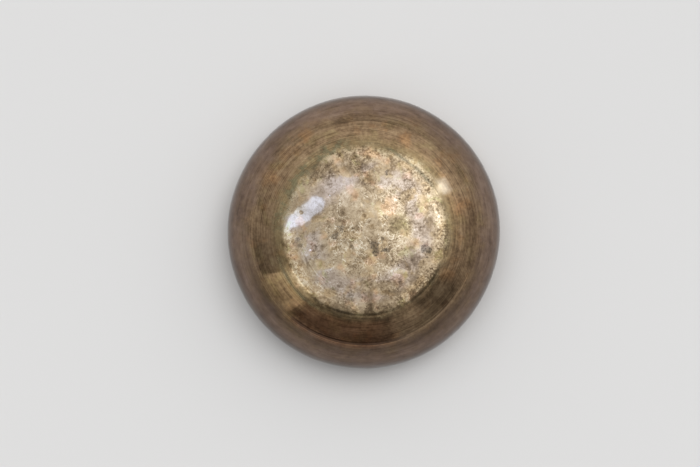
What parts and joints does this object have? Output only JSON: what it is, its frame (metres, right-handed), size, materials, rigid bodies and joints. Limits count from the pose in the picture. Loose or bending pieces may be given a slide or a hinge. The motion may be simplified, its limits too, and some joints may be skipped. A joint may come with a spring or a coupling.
{
  "type": "bowl",
  "caption": "Round turned bronze bowl lying mouth down on its flat lip: wall drawn in at the mouth, low raised disc on the base.",
  "frame": {"origin": "centre of the lip plane on the bowl's axis, which is the floor's height when the bowl lies mouth down", "axes": "+Z up along the bowl's axis, from the lip to the base, +X to the right and +Y up in the picture; the bowl is stored mouth down, as pictured, and a half turn about X stands it mouth up on its base"},
  "size_m": [0.136, 0.1362, 0.0565],
  "materials": {
    "bronze": "aged bronze: worn bright and mottled on the base disc, brown patina with fine turning lines on the wall"
  },
  "bodies": {
    "root": {"bowl": "bronze"}
  },
  "joints": []
}
